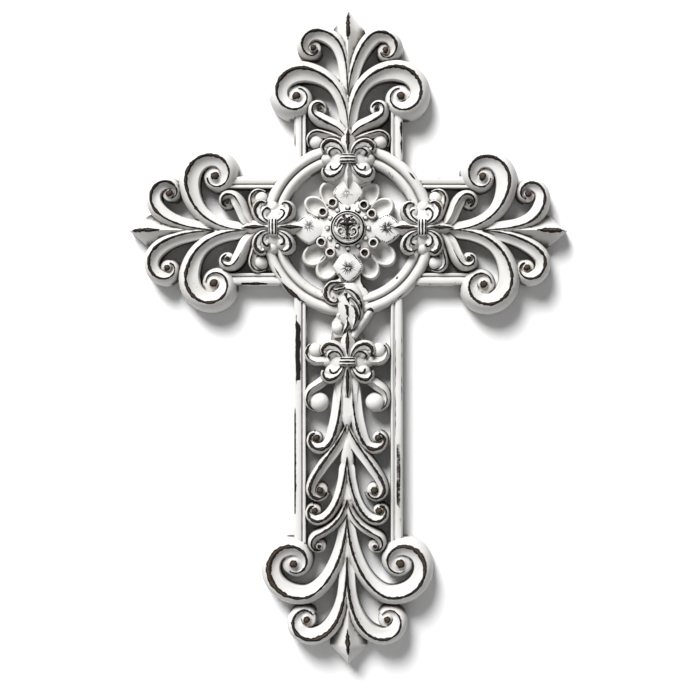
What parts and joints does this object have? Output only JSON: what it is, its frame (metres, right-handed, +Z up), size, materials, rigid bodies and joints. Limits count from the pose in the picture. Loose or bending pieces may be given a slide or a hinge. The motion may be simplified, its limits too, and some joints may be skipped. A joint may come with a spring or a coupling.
{
  "type": "wall cross",
  "caption": "Openwork wall cross with scrolled ends on each arm, a long scrolled shaft, straight moulded rails and a ring with a flower at the crossing, cast in one piece with a flat back.",
  "frame": {"origin": "on the flat back, in the cross's middle plane, behind the leaf knot at the top of the ring, where it hangs on the wall", "axes": "+X to the cross's left arm as it faces the room, +Y out of the flat back into the wall, +Z up"},
  "size_m": [0.2695, 0.024, 0.4014],
  "materials": {
    "worn_white_paint": "matte, worn off-white paint over a cast resin body"
  },
  "bodies": {
    "root": {"wall_cross": "worn_white_paint"}
  },
  "joints": []
}
